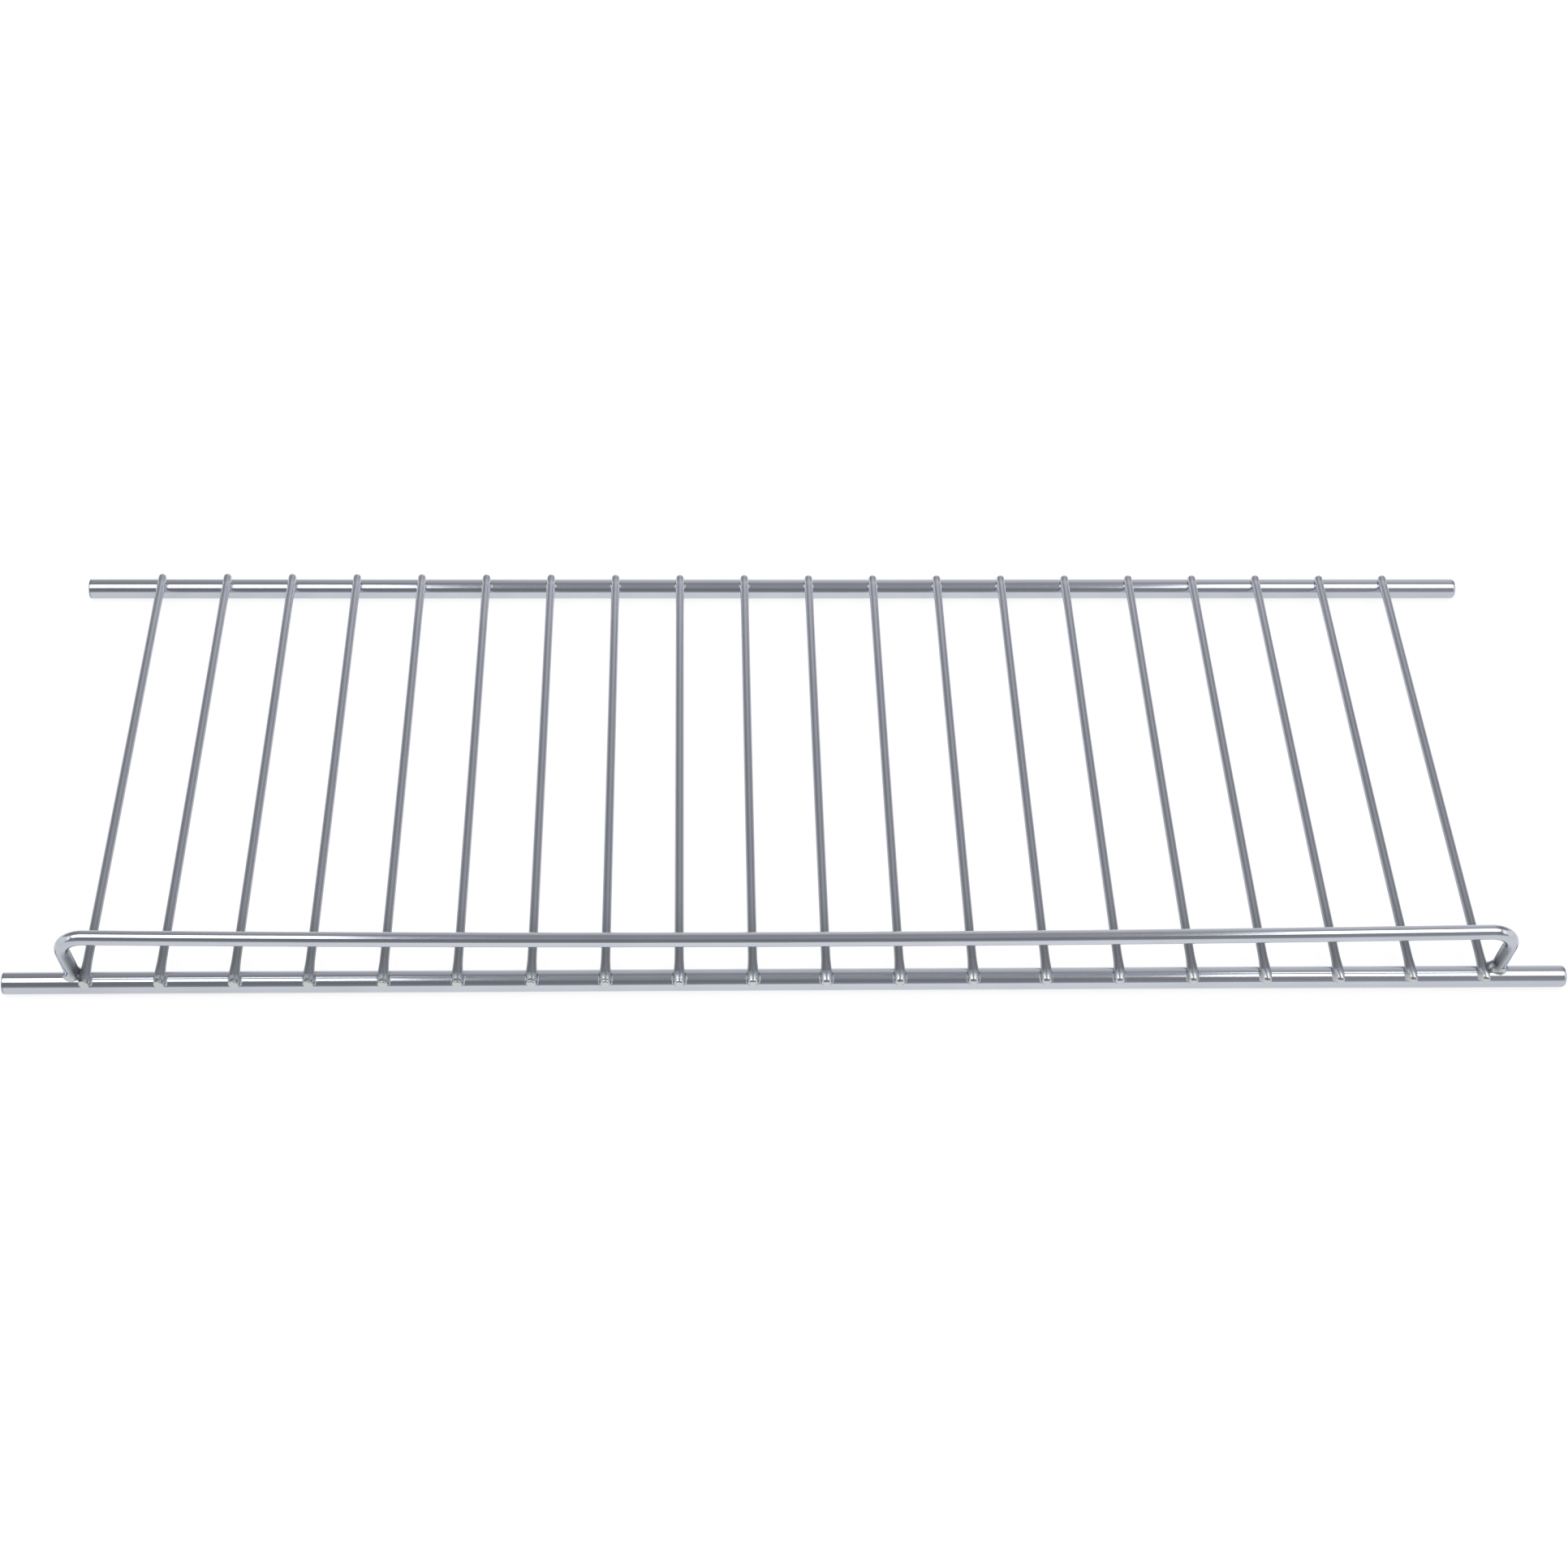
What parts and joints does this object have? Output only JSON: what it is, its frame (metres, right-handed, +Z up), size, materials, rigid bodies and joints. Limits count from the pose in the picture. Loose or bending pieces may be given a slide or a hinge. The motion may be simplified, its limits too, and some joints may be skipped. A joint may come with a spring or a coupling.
{
  "type": "refrigerator wire shelf",
  "caption": "Welded wire refrigerator shelf: thin cross wires laid over a front and a rear rod, with a low bent guard rail along the front edge and bare rod ends to rest on ledges.",
  "frame": {"origin": "middle of the shelf's box at the level of the rods' undersides, where the shelf rests", "axes": "+X along the rods to the right, +Y from the front rod to the rear rod, +Z up"},
  "size_m": [0.426, 0.1668, 0.0254],
  "materials": {
    "bright_plated_steel": "bright zinc plating over drawn steel wire, smooth and shiny, a little duller round the welds"
  },
  "bodies": {
    "root": {"front_rod": "bright_plated_steel", "rear_rod": "bright_plated_steel", "cross_wire_01": "bright_plated_steel", "cross_wire_02": "bright_plated_steel", "cross_wire_03": "bright_plated_steel", "cross_wire_04": "bright_plated_steel", "cross_wire_05": "bright_plated_steel", "cross_wire_06": "bright_plated_steel", "cross_wire_07": "bright_plated_steel", "cross_wire_08": "bright_plated_steel", "cross_wire_09": "bright_plated_steel", "cross_wire_10": "bright_plated_steel", "cross_wire_11": "bright_plated_steel", "cross_wire_12": "bright_plated_steel", "cross_wire_13": "bright_plated_steel", "cross_wire_14": "bright_plated_steel", "cross_wire_15": "bright_plated_steel", "cross_wire_16": "bright_plated_steel", "cross_wire_17": "bright_plated_steel", "cross_wire_18": "bright_plated_steel", "cross_wire_19": "bright_plated_steel", "cross_wire_20": "bright_plated_steel", "guard_rail": "bright_plated_steel"}
  },
  "joints": []
}
